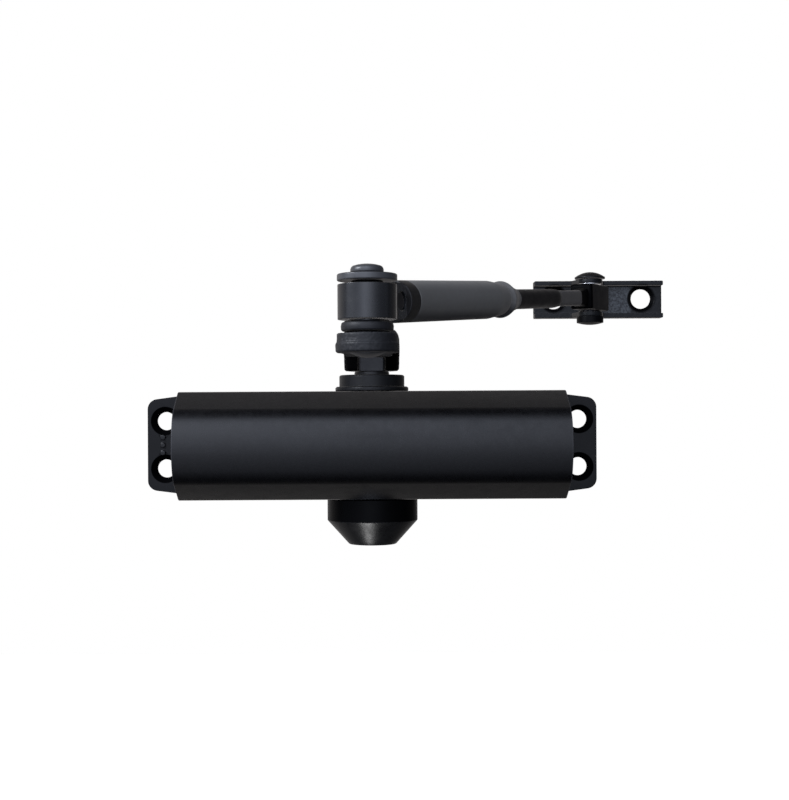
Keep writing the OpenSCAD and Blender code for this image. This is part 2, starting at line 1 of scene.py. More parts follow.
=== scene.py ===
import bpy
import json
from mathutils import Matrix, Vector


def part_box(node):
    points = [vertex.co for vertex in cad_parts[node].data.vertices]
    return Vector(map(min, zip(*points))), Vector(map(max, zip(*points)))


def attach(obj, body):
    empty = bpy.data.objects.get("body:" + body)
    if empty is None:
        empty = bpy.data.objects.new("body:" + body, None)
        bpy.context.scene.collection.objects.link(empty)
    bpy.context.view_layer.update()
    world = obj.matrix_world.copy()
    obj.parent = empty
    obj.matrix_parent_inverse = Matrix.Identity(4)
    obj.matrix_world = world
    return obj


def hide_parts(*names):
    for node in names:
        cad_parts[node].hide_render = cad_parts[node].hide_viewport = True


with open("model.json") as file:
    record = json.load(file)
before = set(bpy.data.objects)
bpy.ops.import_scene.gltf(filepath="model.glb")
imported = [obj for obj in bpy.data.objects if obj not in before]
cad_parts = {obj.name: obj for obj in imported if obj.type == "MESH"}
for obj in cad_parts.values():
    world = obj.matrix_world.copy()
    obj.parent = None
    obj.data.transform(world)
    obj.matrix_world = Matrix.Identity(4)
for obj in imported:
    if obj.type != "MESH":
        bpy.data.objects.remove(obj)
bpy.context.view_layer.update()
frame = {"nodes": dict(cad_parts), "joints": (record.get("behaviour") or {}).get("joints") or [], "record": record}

import json
import math
import bpy
import bmesh
from mathutils import Vector, Matrix

MM = 0.001
NODES = frame["nodes"]


# ---------------------------------------------------------------- frame positions
JOINT = {j["name"]: j for j in frame["joints"]}
ELBOW = Vector(JOINT["elbow_hinge"]["pos_m"])
PIVOT = Vector(JOINT["bracket_pivot"]["pos_m"])
FORE = Vector(JOINT["rod_adjust"]["axis"]).normalized()
SIDE = FORE.cross(Vector((0, 0, 1))).normalized()
RISE = SIDE.cross(FORE).normalized()
SPINDLE = Vector(JOINT["spindle_turn"]["pos_m"])
HUB_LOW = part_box("main_arm")[0][2]
RING_LOW, RING_TOP = (corner[2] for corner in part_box("elbow_spacer_ring"))
WASHER_LOW, WASHER_TOP = (corner[2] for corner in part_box("elbow_washer"))
MOUNT = {m["name"]: m for m in frame["record"]["mounts"]}
EAR_HOLE_X = MOUNT["body_screws"]["dims"]["spacing_x_mm"] / 2 * MM
EAR_HOLE_Z = MOUNT["body_screws"]["dims"]["spacing_y_mm"] / 2 * MM
BRACKET_MID = MOUNT["bracket_screws"]["pos_m"]
BRACKET_HOLE_X = MOUNT["bracket_screws"]["dims"]["spacing_x_mm"] / 2 * MM

# sizes and heights of the object, m
BODY_END = 0.0735          # end faces of the body, each side of the middle
EAR_FRONT = -0.0056        # front of the fixing ears
FRONT_EDGE = -0.007        # where the body's front starts to roll over
CAP_CONE_TOP = -0.0291     # where the cap's cone starts
SQUARE_FOOT = 0.0287       # where the spindle's square starts
SQUARE_TOP = 0.06          # anywhere above the spindle
HUB_SHADE = 0.0069         # height of the shaded part of the hub
HUB_FRONT = 0.016          # the hub reaches this far in front of the spindle
LUG_HALF = 0.0042          # half width of the knuckle's lug
WEB_FRONT = -0.0025        # front of the bracket's web
EAR_RIM = 0.0057           # outer radius of the painted shade ring round an ear hole
BRACKET_RIM = 0.0058       # the same round a bracket hole
PATCH_START = 0.0035       # the pale patch starts this far beyond the pivot ...
PATCH_END = 0.0125         # ... and ends this far beyond the middle of the bracket

# stations along the forearm from the elbow, mm
LUG_START = 10.2
# painted shade at the end of the collar's cone
CONE_END_SHADE = (94.2, 96.1)
BLADE = (134.2, 154.8)
# painted shadow in the gap between the blade and the eye
EYE_GAP_SHADOW = (154.8, 161.7)


def fore_at(s, side=0.0, rise=0.0):
    """point at station s (mm) along the forearm from the elbow, in metres"""
    return ELBOW + (FORE * s + SIDE * side + RISE * rise) * MM


# ---------------------------------------------------------------- shader helpers
class Graph:
    """a material's node tree with short calls"""

    def __init__(self, name):
        self.mat = bpy.data.materials.new(name)
        self.mat.use_nodes = True
        self.tree = self.mat.node_tree
        self.tree.nodes.clear()
        out = self.node("ShaderNodeOutputMaterial")
        self.shader = self.node("ShaderNodeBsdfPrincipled")
        self.wire(self.shader.outputs[0], out.inputs[0])
        self.co = self.node("ShaderNodeTexCoord").outputs["Object"]

    def node(self, kind, **settings):
        n = self.tree.nodes.new(kind)
        for key, value in settings.items():
            setattr(n, key, value)
        return n

    def wire(self, a, b):
        self.tree.links.new(a, b)

    def put(self, socket, value):
        if isinstance(value, (int, float)):
            socket.default_value = value
        elif isinstance(value, tuple):
            socket.default_value = (*value, 1)[:len(socket.default_value)]
        else:
            self.wire(value, socket)

    def noise(self, scale, detail=2.0, rough=0.5, co=None):
        n = self.node("ShaderNodeTexNoise")
        n.inputs["Scale"].default_value = scale
        n.inputs["Detail"].default_value = detail
        n.inputs["Roughness"].default_value = rough
        self.wire(co or self.co, n.inputs["Vector"])
        return n.outputs["Fac"]

    def remap(self, value, lo, hi, a=0.0, b=1.0):
        n = self.node("ShaderNodeMapRange", clamp=True)
        for i, v in enumerate((value, lo, hi, a, b)):
            self.put(n.inputs[i], v)
        return n.outputs[0]

    def math(self, op, a, b=0.0, c=0.0):
        n = self.node("ShaderNodeMath", operation=op)
        for i, v in enumerate((a, b, c)):
            self.put(n.inputs[i], v)
        return n.outputs[0]

    def blend(self, fac, a, b):
        n = self.node("ShaderNodeMix", data_type="RGBA")
        for i, v in ((0, fac), (6, a), (7, b)):
            self.put(n.inputs[i], v)
        return n.outputs[2]

    def bump(self, height, depth_mm, normal=None):
        n = self.node("ShaderNodeBump")
        n.inputs["Strength"].default_value = 1.0
        n.inputs["Distance"].default_value = depth_mm * MM
        self.wire(height, n.inputs["Height"])
        if normal is not None:
            self.wire(normal, n.inputs["Normal"])
        return n.outputs[0]

    def split(self):
        n = self.node("ShaderNodeSeparateXYZ")
        self.wire(self.co, n.inputs[0])
        return n.outputs

    def along(self, origin, direction):
        """distance in metres along a direction from a point"""
        d = self.node("ShaderNodeVectorMath", operation="SUBTRACT")
        self.wire(self.co, d.inputs[0])
        d.inputs[1].default_value = origin
        p = self.node("ShaderNodeVectorMath", operation="DOT_PRODUCT")
        self.wire(d.outputs[0], p.inputs[0])
        p.inputs[1].default_value = direction
        return p.outputs["Value"]


ROUGH_SWING = 0.06


def scaled(colour, k, lift=0.0):
    """colour times k, plus lift"""
    return tuple(min(1.0, c * k + lift) for c in colour)


def finish(name, base, rough, metal=0.0, spec=0.5, mottle=0.12, peel=(1300, 0.012),
           grain=(4600, 0.004), pits=None, edge=0.8, round_mm=0.25, masks=()):
    """A coated or machined surface: slow colour mottle, orange peel and grain in the bump,
    uneven roughness, paler edges that are partly rubbed wear and partly painted edge highlight.
    peel, grain and pits are (scale per metre, height in mm); masks are functions of the graph
    that give (factor, colour, specular level)."""
    g = Graph(name)
    slow = g.noise(45, 3.0, 0.6)
    fine = g.noise(700, 2.0, 0.55)
    tone = g.math("ADD", g.math("MULTIPLY", slow, 0.6), g.math("MULTIPLY", fine, 0.4))
    colour = g.blend(g.remap(tone, 0.3, 0.7), scaled(base, 1 - mottle), scaled(base, 1 + mottle))
    # paler edges: partly rubbed wear, partly painted edge highlight
    if edge:
        shape = g.node("ShaderNodeNewGeometry").outputs["Pointiness"]
        patchy_edge = g.remap(g.noise(900, 3.0, 0.6), 0.38, 0.62, 0.2 * edge, edge)
        edge_wear_and_highlight = g.math("MULTIPLY", g.remap(shape, 0.512, 0.60), patchy_edge)
        colour = g.blend(edge_wear_and_highlight, colour, scaled(base, 2.2, 0.012))
    level = spec
    for mask in masks:
        factor, shade, mask_spec = mask(g)
        colour = g.blend(factor, colour, shade)
        drop = g.math("MULTIPLY", factor, mask_spec - spec)
        level = g.math("ADD", drop, level)
    g.put(g.shader.inputs["Base Color"], colour)
    g.put(g.shader.inputs["Specular IOR Level"], level)
    wear = g.remap(g.noise(260, 4.0, 0.6), 0.3, 0.7, rough - ROUGH_SWING, rough + ROUGH_SWING)
    g.wire(wear, g.shader.inputs["Roughness"])
    g.shader.inputs["Metallic"].default_value = metal
    corner = g.node("ShaderNodeBevel", samples=4)
    corner.inputs["Radius"].default_value = round_mm * MM
    normal = corner.outputs[0]
    for layer, detail in ((peel, 1.0), (grain, 2.0), (pits, 4.0)):
        if layer:
            normal = g.bump(g.noise(layer[0], detail, 0.6), layer[1], normal)
    g.wire(normal, g.shader.inputs["Normal"])
    return g.mat


# near-black for painted shade and painted shadow
BLACK = (0.0015, 0.0015, 0.0018)


def in_shade(z_top):
    """the shaded lower part of the arm's hub"""
    def mask(g):
        z = g.split()[2]
        low = g.remap(z, z_top + 0.0002, z_top - 0.0002)
        near = g.remap(g.along(SPINDLE, Vector((0, -1, 0))), HUB_FRONT, HUB_FRONT - 0.0005)
        return g.math("MULTIPLY", low, near), BLACK, 0.01
    return mask


def painted_hole_shade(cx, cz, radius, z0=0.0, x0=0.0, tone=(0.003, 0.003, 0.0035), spec=0.05):
    """painted shade: dark rings round holes that run along Y, mirrored about (x0, z0)"""
    def mask(g):
        x, _, z = g.split()
        dx = g.math("SUBTRACT", g.math("ABSOLUTE", g.math("SUBTRACT", x, x0)), cx)
        dz = g.math("SUBTRACT", g.math("ABSOLUTE", g.math("SUBTRACT", z, z0)), cz)
        d = g.math("SQRT", g.math("ADD", g.math("MULTIPLY", dx, dx), g.math("MULTIPLY", dz, dz)))
        return g.remap(d, radius + 0.0002, radius - 0.0003), tone, spec
    return mask


def station(s0, s1, colour, spec):
    """a band of another tone between two stations of the forearm, in mm"""
    def mask(g):
        d = g.along(ELBOW, FORE)
        on = g.math("MULTIPLY", g.remap(d, (s0 - 0.15) * MM, (s0 + 0.15) * MM),
                    g.remap(d, (s1 + 0.15) * MM, (s1 - 0.15) * MM))
        return on, colour, spec
    return mask


def painted_light_across(rise0, rise1, colour, spec):
    """painted light and shade: fades to a lighter or darker tone across the forearm, from height rise0 to rise1,
    in mm
    """
    def mask(g):
        return g.remap(g.along(ELBOW, RISE), rise0 * MM, rise1 * MM), colour, spec
    return mask


def lug_face(s0, colour, spec):
    """the machined side faces of the knuckle's lug, from station s0 on"""
    def mask(g):
        on = g.math("MULTIPLY", g.remap(g.along(ELBOW, FORE), (s0 - 0.4) * MM, s0 * MM),
                    g.remap(g.math("ABSOLUTE", g.along(ELBOW, SIDE)), LUG_HALF, LUG_HALF + 0.0001))
        return on, colour, spec
    return mask


def height_band(lo, hi, colour, spec):
    """a level band of another tone between two heights, in metres"""
    def mask(g):
        z = g.split()[2]
        blur = 0.00008
        on = g.math("MULTIPLY", g.remap(z, lo - blur, lo + blur), g.remap(z, hi + blur, hi - blur))
        return on, colour, spec
    return mask


def painted_gap_shade(z, below, above):
    """painted shade: near-black line where two stacked pieces meet; below and above in mm"""
    return height_band(z - below * MM, z + above * MM, BLACK, 0.02)


def ears(x0, y0):
    """the fixing ears: x beyond the end faces, close to the door"""
    def mask(g):
        x, y, _ = g.split()
        on = g.math("MULTIPLY", g.remap(g.math("ABSOLUTE", x), x0, x0 + 0.0002),
                    g.remap(y, y0 - 0.0002, y0))
        return on, (0.0035, 0.0036, 0.0042), 0.26
    return mask


def painted_end_highlight(x0):
    """painted highlight: a pale line where the front rolls over into the end faces"""
    def mask(g):
        x, y, _ = g.split()
        on = g.remap(g.math("ABSOLUTE", x), x0 - 0.0004, x0 - 0.0002)
        front = g.remap(y, FRONT_EDGE, FRONT_EDGE - 0.0005)
        return g.math("MULTIPLY", on, front), (0.045, 0.045, 0.050), 0.5
    return mask


def pale_web_patch(x0, x1, y_front):
    """bright, mottled patch on the web beside the pivot"""
    def mask(g):
        x, y, _ = g.split()
        on = g.math("MULTIPLY", g.remap(x, x0 - 0.0012, x0), g.remap(x, x1 + 0.0012, x1))
        on = g.math("MULTIPLY", on, g.remap(y, y_front - 0.0003, y_front))
        flecks = g.remap(g.noise(1400, 3.0, 0.7), 0.42, 0.58, 0.25, 1.0)
        return g.math("MULTIPLY", on, flecks), (0.150, 0.165, 0.180), 0.6
    return mask


# body and cap
# body coat: painted highlight along the end edges, painted shade round the ear holes
COAT = finish("powder_coat_body", (0.0045, 0.0044, 0.0052), 0.30, mottle=0.10,
              peel=(1100, 0.010), grain=(4200, 0.0035),
              masks=[ears(BODY_END, EAR_FRONT), painted_end_highlight(BODY_END),
                     painted_hole_shade(EAR_HOLE_X, EAR_HOLE_Z, EAR_RIM)])
# cap: painted shade on the cylinder under the body, down to where the cone starts
CAP = finish("moulded_cap", (0.012, 0.012, 0.013), 0.30, peel=(900, 0.003),
             grain=(6000, 0.0015), edge=0.4,
             masks=[height_band(CAP_CONE_TOP, 0.0, (0.0018, 0.0018, 0.0022), 0.07)])
NUT = finish("blackened_nut", (0.010, 0.0105, 0.012), 0.36, spec=0.36, peel=(1500, 0.005),
             grain=(6000, 0.003))
SPINDLE_STEEL = finish("spindle_oxide", (0.015, 0.015, 0.0175), 0.38, peel=(1500, 0.004),
                       grain=(6000, 0.003),
                       masks=[height_band(SQUARE_FOOT, SQUARE_TOP, (0.045, 0.046, 0.050), 0.45)])
# arm and forearm
ENAMEL = finish("satin_enamel", (0.020, 0.021, 0.024), 0.34, spec=0.8, peel=(1600, 0.008),
                grain=(5600, 0.004))
KNUCKLE = finish("knuckle_enamel", (0.013, 0.014, 0.0165), 0.25, spec=0.95, peel=(1700, 0.007),
                 grain=(5400, 0.004), edge=0.15,
                 masks=[lug_face(LUG_START, (0.060, 0.062, 0.065), 0.4)])
# casting: painted shade under the hub and at the top of the spacer ring
CAST = finish("rough_casting", (0.018, 0.019, 0.022), 0.50, spec=0.5, peel=(900, 0.03),
              grain=(3400, 0.025), pits=(1900, 0.035), edge=0.9, mottle=0.3, round_mm=0.15,
              masks=[in_shade(HUB_LOW + HUB_SHADE), painted_gap_shade(RING_TOP, 0.2, 0.6)])
# tube: painted light on the top and painted shade underneath
TUBE = finish("tube_enamel", (0.200, 0.196, 0.188), 0.45, mottle=0.06, peel=(1500, 0.008),
              grain=(5200, 0.005), edge=0.4,
              masks=[painted_light_across(3.0, 6.5, (0.290, 0.284, 0.272), 0.6),
                     painted_light_across(-2.8, -5.0, (0.100, 0.098, 0.098), 0.4)])
# collar: painted shade underneath and at the end of its cone
COLLAR = finish("collar_enamel", (0.172, 0.168, 0.160), 0.42, mottle=0.16, peel=(1300, 0.010),
                grain=(4800, 0.006), round_mm=0.12,
                masks=[painted_light_across(-1.5, -4.0, (0.070, 0.068, 0.068), 0.4),
                       station(*CONE_END_SHADE, (0.030, 0.030, 0.032), 0.3)])
FERRULE = finish("ferrule_black", (0.016, 0.0155, 0.0155), 0.40, peel=(1500, 0.005),
                 grain=(6000, 0.003))
# rod: painted shadow at the neck before the eye
ROD = finish("rod_black", (0.0065, 0.0065, 0.0078), 0.42, spec=0.35, peel=(1500, 0.006),
             grain=(5600, 0.004), edge=0.5, round_mm=0.15,
             masks=[station(*BLADE, (0.125, 0.118, 0.111), 0.4),
                    station(*EYE_GAP_SHADOW, BLACK, 0.03)])
# bracket, rivets and washers
# bracket coat: painted shade round its holes
BRACKET = finish("bracket_coat", (0.0065, 0.0074, 0.0090), 0.36, spec=0.34, peel=(1000, 0.03),
                 grain=(2600, 0.015), mottle=0.35, round_mm=0.15, edge=0.3,
                 masks=[pale_web_patch(PIVOT.x + PATCH_START, BRACKET_MID[0] + PATCH_END, WEB_FRONT),
                        painted_hole_shade(BRACKET_HOLE_X, 0.0, BRACKET_RIM, z0=BRACKET_MID[2],
                                     x0=BRACKET_MID[0], tone=(0.0020, 0.0022, 0.0030), spec=0.14)])
# zinc washer: painted shade in the gaps below and above it
WASHER = finish("washer_zinc", (0.078, 0.080, 0.085), 0.34, spec=0.9, peel=(1600, 0.008),
                grain=(5600, 0.004),
                masks=[painted_gap_shade(WASHER_LOW, 0.55, 0.65), painted_gap_shade(WASHER_TOP, 0.1, 0.5),
                       painted_gap_shade(RING_LOW, 0.8, 0.1)])
# rivet heads: painted shade on the lower one, below the pivot
RIVET = finish("rivet_enamel", (0.0040, 0.0041, 0.0052), 0.36, spec=0.32, peel=(1500, 0.008),
               grain=(5200, 0.005), edge=0.3,
               masks=[height_band(0.0, PIVOT.z, (0.0020, 0.0021, 0.0028), 0.12)])
# inside, and small fittings
STEEL = finish("machined_steel", (0.42, 0.42, 0.43), 0.34, metal=1.0, peel=(700, 0.002),
               grain=(6000, 0.003), edge=0.0, mottle=0.08)
# washers: painted shade on the lower one, below the pivot
BRIGHT = finish("bright_washer", (0.80, 0.80, 0.80), 0.20, metal=1.0, peel=(700, 0.001),
                grain=(6000, 0.001), edge=0.0, mottle=0.04,
                masks=[height_band(0.0, PIVOT.z, (0.02, 0.02, 0.022), 0.3)])
SPRING = finish("spring_steel", (0.22, 0.22, 0.24), 0.38, metal=1.0, peel=(900, 0.004),
                grain=(6000, 0.003), edge=0.0, mottle=0.12)
BRASS = finish("turned_brass", (0.62, 0.44, 0.16), 0.30, metal=1.0, peel=(900, 0.002),
               grain=(6000, 0.002), edge=0.0, mottle=0.10)
BUSH = finish("oiled_bush", (0.006, 0.006, 0.006), 0.45, metal=0.2, peel=(900, 0.002),
              grain=(6000, 0.002), edge=0.0, mottle=0.10)
RUBBER = finish("nitrile", (0.012, 0.012, 0.012), 0.62, spec=0.35, peel=(1500, 0.010),
                grain=(5200, 0.006), edge=0.0, mottle=0.15)
PLUG = finish("plug_oxide", (0.035, 0.036, 0.038), 0.42, metal=0.6, peel=(1200, 0.006),
              grain=(6000, 0.004))
PIN = finish("pin_steel", (0.016, 0.016, 0.019), 0.40, peel=(1200, 0.008), grain=(5200, 0.005),
             edge=0.4)


# ---------------------------------------------------------------- CAD nodes: looks and rounding
def smooth_group(limit_deg):
    """geometry nodes: forget imported normals, shade smooth except across sharp edges"""
    g = bpy.data.node_groups.new(f"smooth_{limit_deg}", "GeometryNodeTree")
    g.interface.new_socket("Geometry", in_out="INPUT", socket_type="NodeSocketGeometry")
    g.interface.new_socket("Geometry", in_out="OUTPUT", socket_type="NodeSocketGeometry")
    start = g.nodes.new("NodeGroupInput")
    end = g.nodes.new("NodeGroupOutput")
    forget = g.nodes.new("GeometryNodeRemoveAttribute")
    forget.inputs["Name"].default_value = "custom_normal"
    faces = g.nodes.new("GeometryNodeSetShadeSmooth")
    edges = g.nodes.new("GeometryNodeSetShadeSmooth")
    edges.domain = "EDGE"
    angle = g.nodes.new("GeometryNodeInputMeshEdgeAngle")
    sharp = g.nodes.new("FunctionNodeCompare")
    sharp.operation = "GREATER_THAN"
    sharp.inputs[1].default_value = math.radians(limit_deg)
    g.links.new(start.outputs[0], forget.inputs[0])
    g.links.new(forget.outputs[0], faces.inputs["Geometry"])
    g.links.new(faces.outputs[0], edges.inputs["Geometry"])
    g.links.new(angle.outputs["Unsigned Angle"], sharp.inputs[0])
    g.links.new(sharp.outputs[0], edges.inputs["Selection"])
    edges.inputs["Shade Smooth"].default_value = False
    g.links.new(edges.outputs[0], end.inputs[0])
    return g


SMOOTH = smooth_group(32)
SMOOTH_CRISP = smooth_group(12)


def smooth_by(o, group):
    """shade smooth up to the group's angle"""
    s = o.modifiers.new("smooth", "NODES")
    s.node_group = group


def give(o, mat):
    """one material for the whole object"""
    o.data.materials.clear()
    o.data.materials.append(mat)


def weld(o):
    """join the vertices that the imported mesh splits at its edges"""
    w = o.modifiers.new("weld", "WELD")
    w.merge_threshold = 2e-6


def no_reflection(o):
    """keep a part from darkening the front of the body with its reflection"""
    o.visible_glossy = False


def dress(name, mat, bevel=0.0):
    """finish and real rounded edges for a CAD node, by modifiers"""
    o = NODES[name]
    give(o, mat)
    weld(o)
    if bevel:
        b = o.modifiers.new("edges", "BEVEL")
        b.width = bevel * MM
        b.segments = 2
        b.limit_method = "ANGLE"
        b.angle_limit = math.radians(32)
        b.use_clamp_overlap = False
    smooth_by(o, SMOOTH)
    n = o.modifiers.new("normals", "WEIGHTED_NORMAL")
    n.mode = "FACE_AREA"
    n.weight = 50
    n.keep_sharp = True


def cast_skin(name, mat, voxel, layers, soften=2):
    """a forged or pressed surface: even fine mesh, softened corners, uneven skin"""
    o = NODES[name]
    give(o, mat)
    weld(o)
    r = o.modifiers.new("skin", "REMESH")
    r.mode = "VOXEL"
    r.voxel_size = voxel * MM
    r.use_smooth_shade = True
    s = o.modifiers.new("soften", "SMOOTH")
    s.factor = 0.5
    s.iterations = soften
    for i, (size, height) in enumerate(layers):
        tex = bpy.data.textures.new(f"{name}_skin_{i}", "CLOUDS")
        tex.noise_scale = size * MM
        tex.noise_depth = 1
        d = o.modifiers.new(f"uneven_{i}", "DISPLACE")
        d.texture = tex
        d.texture_coords = "LOCAL"
        d.strength = height * MM
        d.mid_level = 0.5


# CAD node: finish, width of its rounded edges in mm
LOOKS = {
    "housing": (COAT, 0.15), "end_plug": (PLUG, 0.2), "end_plug_seal": (RUBBER, 0),
    "rack_piston": (STEEL, 0), "piston_seal": (RUBBER, 0), "check_ball": (STEEL, 0),
    "check_retainer": (BRASS, 0), "spring_seat": (STEEL, 0), "return_spring": (SPRING, 0),
    "pinion_spindle": (SPINDLE_STEEL, 0), "upper_bearing": (STEEL, 0),
    "lower_bearing": (STEEL, 0), "upper_spindle_seal": (RUBBER, 0),
    "lower_spindle_seal": (RUBBER, 0), "upper_gland_nut": (NUT, 0.12),
    "lower_gland_nut": (STEEL, 0), "bottom_cap": (CAP, 0.2), "closing_valve": (BRASS, 0.08),
    "latching_valve": (BRASS, 0.08), "closing_valve_seal": (RUBBER, 0),
    "latching_valve_seal": (RUBBER, 0), "hub_washer": (ENAMEL, 0.15),
    "hub_screw": (ENAMEL, 0.15), "elbow_rivet": (WASHER, 0.08), "elbow_washer": (WASHER, 0.1),
    "elbow_spacer_ring": (CAST, 0.08), "elbow_bush": (BUSH, 0),
    "forearm_knuckle": (KNUCKLE, 0.12), "knuckle_pin": (PIN, 0.12),
    "forearm_ferrule": (FERRULE, 0.12), "forearm_tube": (TUBE, 0.1),
    "bracket_rivet": (RIVET, 0.1), "bracket_washers": (BRIGHT, 0),
}
for node_name, (look, bevel_mm) in LOOKS.items():
    dress(node_name, look, bevel_mm)
cast_skin("main_arm", CAST, 0.25, [(0.7, 0.15), (2.6, 0.12)], 1)
cast_skin("bracket", BRACKET, 0.25, [(0.8, 0.07)])
for node_name in ("main_arm", "hub_washer", "hub_screw", "elbow_rivet", "elbow_washer",
                  "elbow_spacer_ring", "forearm_knuckle", "forearm_ferrule", "forearm_tube",
                  "bracket", "bracket_rivet", "upper_gland_nut", "pinion_spindle", "bottom_cap"):
    no_reflection(NODES[node_name])


# ---------------------------------------------------------------- mesh helpers
def bridge(bm, rings, close_start=True, close_end=True):
    """skin between rings of vertices"""
    for a, b in zip(rings, rings[1:]):
        n = len(a)
        for i in range(n):
            bm.faces.new((a[i], a[(i + 1) % n], b[(i + 1) % n], b[i]))
    if close_start:
        bm.faces.new(list(reversed(rings[0])))
    if close_end:
        bm.faces.new(rings[-1])


def oval(w, h, power, n=48):
    """superellipse outline: power 2 is an ellipse, higher is squarer"""
    pts = []
    for i in range(n):
        a = 2 * math.pi * (i + 0.5) / n
        c, s = math.cos(a), math.sin(a)
        pts.append((w * math.copysign(abs(c) ** (2 / power), c),
                    h * math.copysign(abs(s) ** (2 / power), s)))
    return pts


def mesh_object(name, bm, mat):
    """smooth-shaded object from a finished bmesh"""
    bmesh.ops.recalc_face_normals(bm, faces=bm.faces)
    for f in bm.faces:
        f.smooth = True
    me = bpy.data.meshes.new(name)
    bm.to_mesh(me)
    bm.free()
    o = bpy.data.objects.new(name, me)
    bpy.context.scene.collection.objects.link(o)
    give(o, mat)
    return o


# ---------------------------------------------------------------- adjusting rod
def rod_shank():
    """round rod, pressed to a narrower blade near the eye, with hollow flares;
    each row of the outline is station, half width, half height and squareness"""
    rod_r, blade_w, blade_h = 3.5, 2.8, 3.05
    s_eye = (PIVOT - ELBOW).length / MM - 9.0
    outline = [(58.0, 3.1, 3.1, 2), (58.5, rod_r, rod_r, 2), (95.0, rod_r, rod_r, 2),
               (131.0, rod_r, rod_r, 2), (132.6, rod_r, 3.45, 2.1), (133.8, 3.3, 3.35, 2.3),
               (134.8, blade_w, blade_h + 0.1, 3), (136.0, blade_w, blade_h - 0.05, 4),
               (142.0, blade_w, blade_h - 0.15, 4.5), (150.0, blade_w, blade_h - 0.1, 4.5),
               (s_eye - 5, blade_w, blade_h - 0.1, 4.5), (s_eye - 1.5, 2.9, 3.1, 4.5),
               (s_eye - 0.2, 3.3, 3.7, 4.5), (s_eye + 1.5, 3.5, 3.9, 4.5)]
    bm = bmesh.new()
    rings = []
    for s, w, h, p in outline:
        rings.append([bm.verts.new(fore_at(s, u, v)) for u, v in oval(w, h, p)])
    bridge(bm, rings)
    return mesh_object("rod_shank", bm, ROD)


def eye_block():
    """forged eye: rounded block about the pivot with a vertical hole"""
    half_l, half_w, half_h = 9.3, 4.5, 4.85
    corner, edge, hole, lead = 1.1, 0.9, 3.05, 0.3
    ahead = Vector((FORE.x, FORE.y, 0)).normalized()
    across = Vector((ahead.y, -ahead.x, 0))
    per_corner = 12
    plan = []
    for quarter, (sx, sy) in enumerate(((1, 1), (-1, 1), (-1, -1), (1, -1))):
        for i in range(per_corner):
            a = math.pi / 2 * (quarter + i / (per_corner - 1))
            plan.append(Vector((sx * (half_l - corner) + corner * math.cos(a),
                                sy * (half_w - corner) + corner * math.sin(a))))

    def level(points, z):
        """ring of vertices at height z above the pivot, mm"""
        up = Vector((0, 0, z * MM))
        return [bm.verts.new(PIVOT + (ahead * p.x + across * p.y) * MM + up) for p in points]

    def shrunk(inset):
        return [p - p.normalized() * inset for p in plan]

    def circle(r):
        return [p.normalized() * r for p in plan]

    bm = bmesh.new()
    turns = (0, 0.35, 0.75, 1.15, math.pi / 2)
    steps = [(edge * (1 - math.sin(t)), half_h - edge * (1 - math.cos(t))) for t in turns]
    rings = [level(shrunk(inset), -z) for inset, z in steps]
    rings += [level(shrunk(inset), z) for inset, z in reversed(steps)]
    rings += [level(circle(hole + lead), half_h), level(circle(hole), half_h - lead),
              level(circle(hole), lead - half_h), level(circle(hole + lead), -half_h)]
    bridge(bm, rings + [rings[0]], False, False)
    return mesh_object("rod_eye", bm, ROD)


def join_solids(keep, other):
    """boolean union, applied, so the piece is one clean skin"""
    b = keep.modifiers.new("join", "BOOLEAN")
    b.operation = "UNION"
    b.solver = "EXACT"
    b.object = other
    deps = bpy.context.evaluated_depsgraph_get()
    me = bpy.data.meshes.new_from_object(keep.evaluated_get(deps))
    keep.modifiers.clear()
    keep.data = me
    bpy.data.objects.remove(other, do_unlink=True)


rod = rod_shank()
join_solids(rod, eye_block())
rod.name = "rod_with_eye"
for poly in rod.data.polygons:
    poly.use_smooth = True
smooth_by(rod, SMOOTH)
no_reflection(rod)
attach(rod, "adjusting_rod")
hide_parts("adjusting_rod")


# ---------------------------------------------------------------- swaged collar
def swaged_collar():
    """turned collar with a crisp peak, a straight cone and a thin end ring;
    each point of the outline is station and radius, mm"""
    bore = 3.55
    outline = [(86.3, bore), (86.3, 5.2), (86.5, 5.4), (86.9, 5.5), (88.0, 6.25), (88.3, 6.32),
               (88.6, 6.25), (95.9, 4.12), (96.1, 3.95), (96.2, 4.0), (97.3, 4.0),
               (97.4, 3.9), (97.4, bore)]
    sides = 72
    turn = [2 * math.pi * i / sides for i in range(sides)]
    bm = bmesh.new()
    rings = []
    for s, r in outline:
        rings.append([bm.verts.new(fore_at(s, r * math.cos(a), r * math.sin(a))) for a in turn])
    bridge(bm, rings + [rings[0]], False, False)
    return mesh_object("swaged_collar", bm, COLLAR)


collar = swaged_collar()
smooth_by(collar, SMOOTH_CRISP)
no_reflection(collar)
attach(collar, "forearm")
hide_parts("forearm_collar")


# ---------------------------------------------------------------- camera
CAMERA_PLACE = (0, -0.560, 0.0115)
CAMERA_ROLL = -0.32
cam_data = bpy.data.cameras.new("camera")
cam = bpy.data.objects.new("camera", cam_data)
bpy.context.scene.collection.objects.link(cam)
cam_data.sensor_width = 36
cam_data.lens = 62.6
cam_data.shift_x = 0.0281
cam_data.shift_y = 0.01875
cam_data.clip_start = 0.01
cam_data.clip_end = 50
level_view = Matrix.Rotation(math.radians(90), 4, "X")
roll = Matrix.Rotation(math.radians(CAMERA_ROLL), 4, "Z")
cam.matrix_world = Matrix.Translation(CAMERA_PLACE) @ level_view @ roll
bpy.context.scene.camera = cam


